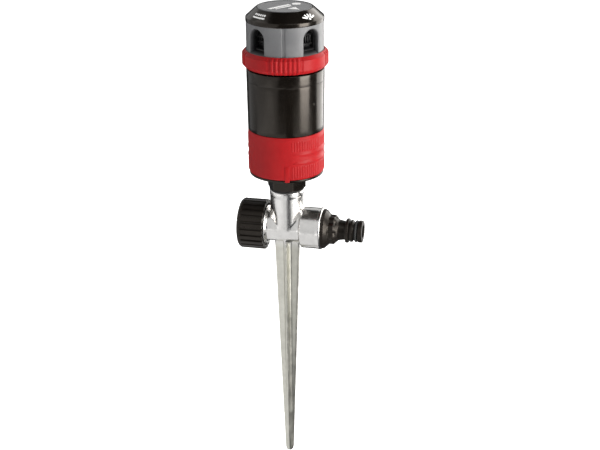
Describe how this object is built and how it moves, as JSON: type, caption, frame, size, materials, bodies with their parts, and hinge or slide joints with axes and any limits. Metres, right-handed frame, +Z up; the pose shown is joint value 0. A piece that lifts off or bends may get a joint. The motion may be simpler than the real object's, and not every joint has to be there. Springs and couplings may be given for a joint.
{
  "type": "spike-mounted rotary sprinkler",
  "caption": "Gear-driven lawn sprinkler head with selectable spray patterns, arc and flow rings, on a cast metal spike with a hose tee and end cap.",
  "frame": {"origin": "on the head's vertical axis at the ground line, where the underside of the tee meets the soil", "axes": "+Z up the head, +X along the tee towards the hose adapter"},
  "size_m": [0.0887, 0.059, 0.3461],
  "materials": {
    "zinc": "bright as-cast zinc alloy, lightly tumbled",
    "black_gloss": "glossy moulded black",
    "black_matte": "satin moulded black",
    "nozzle_black": "fine-textured black",
    "red_plastic": "semi-gloss moulded red",
    "grey_plastic": "satin moulded grey",
    "disc_plastic": "glossy dark grey",
    "white_print": "pad-printed white",
    "white_plastic": "natural acetal",
    "rubber": "matt black",
    "steel": "plain stainless"
  },
  "bodies": {
    "root": {"spike_casting": "zinc", "hose_adapter": "black_gloss", "adapter_washer": "rubber", "adapter_o_ring": "rubber", "head_washer": "rubber", "inlet_coupling": "black_gloss", "inlet_filter": "white_plastic", "base_housing": "black_gloss", "base_o_ring": "rubber", "stator_plate": "white_plastic", "gearbox_case": "black_matte", "gearbox_cover": "black_matte", "gearbox_screws": "steel", "gear_side_pin": "steel", "turbine_bush": "white_plastic", "output_bush": "white_plastic", "gearbox_seal": "rubber", "body_shell": "black_gloss", "core_bearing": "white_plastic", "core_seal": "rubber", "thrust_washer": "steel", "toggle_spring": "steel"},
    "cap_seat": {"cap_washer": "rubber"},
    "outlet_cap": {"end_cap": "black_matte"},
    "flow_control": {"flow_collar": "red_plastic", "throttle_ring": "white_plastic", "throttle_o_rings": "rubber"},
    "turbine": {"turbine_wheel": "white_plastic", "turbine_shaft": "steel", "turbine_pinion": "white_plastic"},
    "gear_one": {"first_gear": "white_plastic"},
    "gear_two": {"second_gear": "white_plastic"},
    "gear_three": {"third_gear": "white_plastic"},
    "core": {"output_gear": "white_plastic", "port_core": "black_matte", "core_clip": "steel", "indicator_disc": "disc_plastic"},
    "arc_stop": {"arc_ring": "red_plastic"},
    "turret": {"turret_shell": "grey_plastic", "turret_cap": "black_gloss", "nozzle_fan": "nozzle_black", "nozzle_jet": "nozzle_black", "nozzle_mist": "nozzle_black", "nozzle_flat": "nozzle_black", "port_seals": "rubber"},
    "trip": {"trip_lever": "white_plastic", "direction_vane": "white_plastic"}
  },
  "joints": [
    {"name": "end_cap_travel", "type": "slide", "parent": "root", "child": "cap_seat", "axis": [-1, 0, 0], "range_m": [0, 0.01179]},
    {"name": "end_cap_turn", "type": "hinge", "parent": "cap_seat", "child": "outlet_cap", "pos_m": [0, 0, 0.0115], "axis": [-1, 0, 0], "range_deg": [0, 2340]},
    {"name": "flow_setting", "type": "hinge", "parent": "root", "child": "flow_control", "pos_m": [0, 0, 0.07], "axis": [0, 0, 1], "range_deg": [0, 90]},
    {"name": "head_rotation", "type": "hinge", "parent": "root", "child": "core", "pos_m": [0, 0, 0.13], "axis": [0, 0, 1], "continuous": true},
    {"name": "turbine_spin", "type": "hinge", "parent": "root", "child": "turbine", "pos_m": [0, 0, 0.076], "axis": [0, 0, 1], "continuous": true},
    {"name": "first_gear_spin", "type": "hinge", "parent": "root", "child": "gear_one", "pos_m": [0.01, 0, 0.095], "axis": [0, 0, 1], "continuous": true},
    {"name": "second_gear_spin", "type": "hinge", "parent": "root", "child": "gear_two", "pos_m": [0, 0, 0.099], "axis": [0, 0, 1], "continuous": true},
    {"name": "third_gear_spin", "type": "hinge", "parent": "root", "child": "gear_three", "pos_m": [0.01, 0, 0.102], "axis": [0, 0, 1], "continuous": true},
    {"name": "arc_setting", "type": "hinge", "parent": "core", "child": "arc_stop", "pos_m": [0, 0, 0.136], "axis": [0, 0, 1], "range_deg": [0, 320]},
    {"name": "nozzle_selection", "type": "hinge", "parent": "core", "child": "turret", "pos_m": [0, 0, 0.15], "axis": [0, 0, 1], "range_deg": [0, 270]},
    {"name": "reversing_trip", "type": "hinge", "parent": "root", "child": "trip", "pos_m": [-0.0172, 0, 0.1], "axis": [0, 0, 1], "range_deg": [0, 28]}
  ],
  "couplings": [
    {"joint": "end_cap_turn", "follows": "end_cap_travel", "rad_per_m": 3463.7},
    {"joint": "turbine_spin", "follows": "head_rotation", "ratio": 81},
    {"joint": "first_gear_spin", "follows": "head_rotation", "ratio": -27},
    {"joint": "second_gear_spin", "follows": "head_rotation", "ratio": 9},
    {"joint": "third_gear_spin", "follows": "head_rotation", "ratio": -3}
  ]
}
